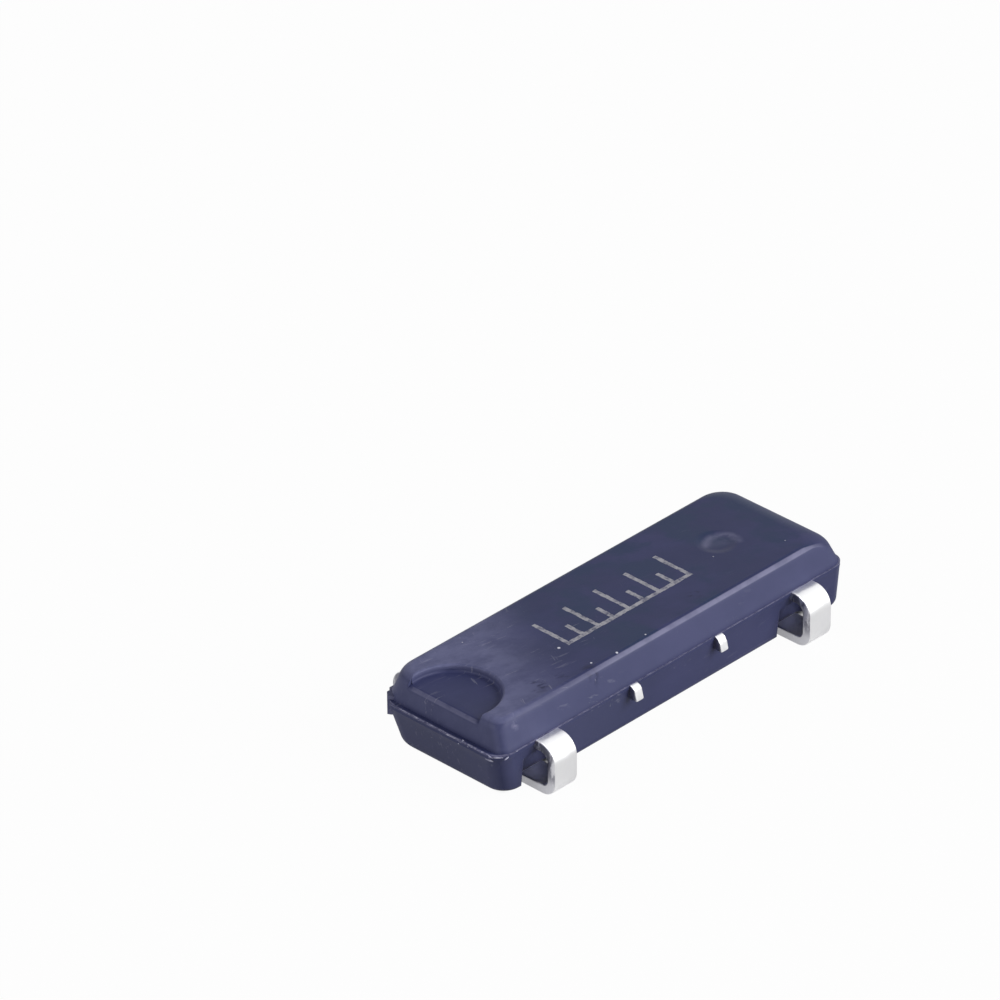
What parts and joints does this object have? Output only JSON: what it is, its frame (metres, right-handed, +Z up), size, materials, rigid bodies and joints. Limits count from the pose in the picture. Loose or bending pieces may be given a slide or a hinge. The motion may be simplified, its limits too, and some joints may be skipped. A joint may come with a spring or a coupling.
{
  "type": "surface-mount quartz crystal",
  "caption": "Moulded resin quartz crystal for surface mounting: a flat drafted body with a half-round index recess and leads folded under it.",
  "frame": {"origin": "on the board under the middle of the body, at the height of the undersides of the feet", "axes": "+X along the body, away from the end with the index recess; +Y across the body; +Z up from the board"},
  "size_m": [0.0104, 0.0046, 0.0019],
  "materials": {
    "moulded_resin": "dark moulded resin, satin, finely grained",
    "tinned_strip": "bright tin plating, satin",
    "cut_strip": "tin plating with a sheared end",
    "nickel_plate": "nickel plating, satin",
    "sealing_glass": "fused sealing glass",
    "wire": "plated wire",
    "quartz": "polished quartz blank",
    "solder": "soft solder, satin"
  },
  "bodies": {
    "root": {"package_body": "moulded_resin", "terminal_lead_front": "tinned_strip", "terminal_lead_rear": "tinned_strip", "anchor_lead_front": "tinned_strip", "anchor_lead_rear": "tinned_strip", "support_bar_index_front": "cut_strip", "support_bar_far_front": "cut_strip", "support_bar_index_rear": "cut_strip", "support_bar_far_rear": "cut_strip", "crystal_can": "nickel_plate", "header_ring": "nickel_plate", "glass_seal": "sealing_glass", "crystal_wire_front": "wire", "crystal_wire_rear": "wire", "quartz_fork": "quartz", "fork_bond_front": "solder", "fork_bond_rear": "solder"}
  },
  "joints": []
}
